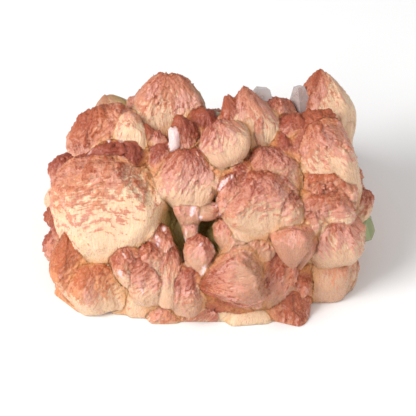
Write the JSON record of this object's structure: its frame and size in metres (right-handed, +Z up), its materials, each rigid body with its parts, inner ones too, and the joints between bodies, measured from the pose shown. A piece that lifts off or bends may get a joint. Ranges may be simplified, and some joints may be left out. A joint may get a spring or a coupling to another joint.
{
  "type": "stilbite specimen",
  "caption": "Mineral cluster of intergrown peach stilbite sheaves with a green and two colourless crystals, cut flat underneath to stand on a shelf.",
  "frame": {"origin": "middle of the flat cut that the specimen stands on", "axes": "+X to the right of the show face, +Y to the back, +Z up; the show face looks towards -Y and up"},
  "size_m": [0.0995, 0.0825, 0.0546],
  "materials": {
    "stilbite": "waxy to pearly, peach and cream with orange-red scaly crowns",
    "green_crystal": "glassy, cloudy pale green",
    "clear_crystal": "glassy, nearly colourless"
  },
  "bodies": {
    "root": {"stilbite_cluster": "stilbite", "green_crystal": "green_crystal", "clear_crystal_left": "clear_crystal", "clear_crystal_right": "clear_crystal"}
  },
  "joints": []
}
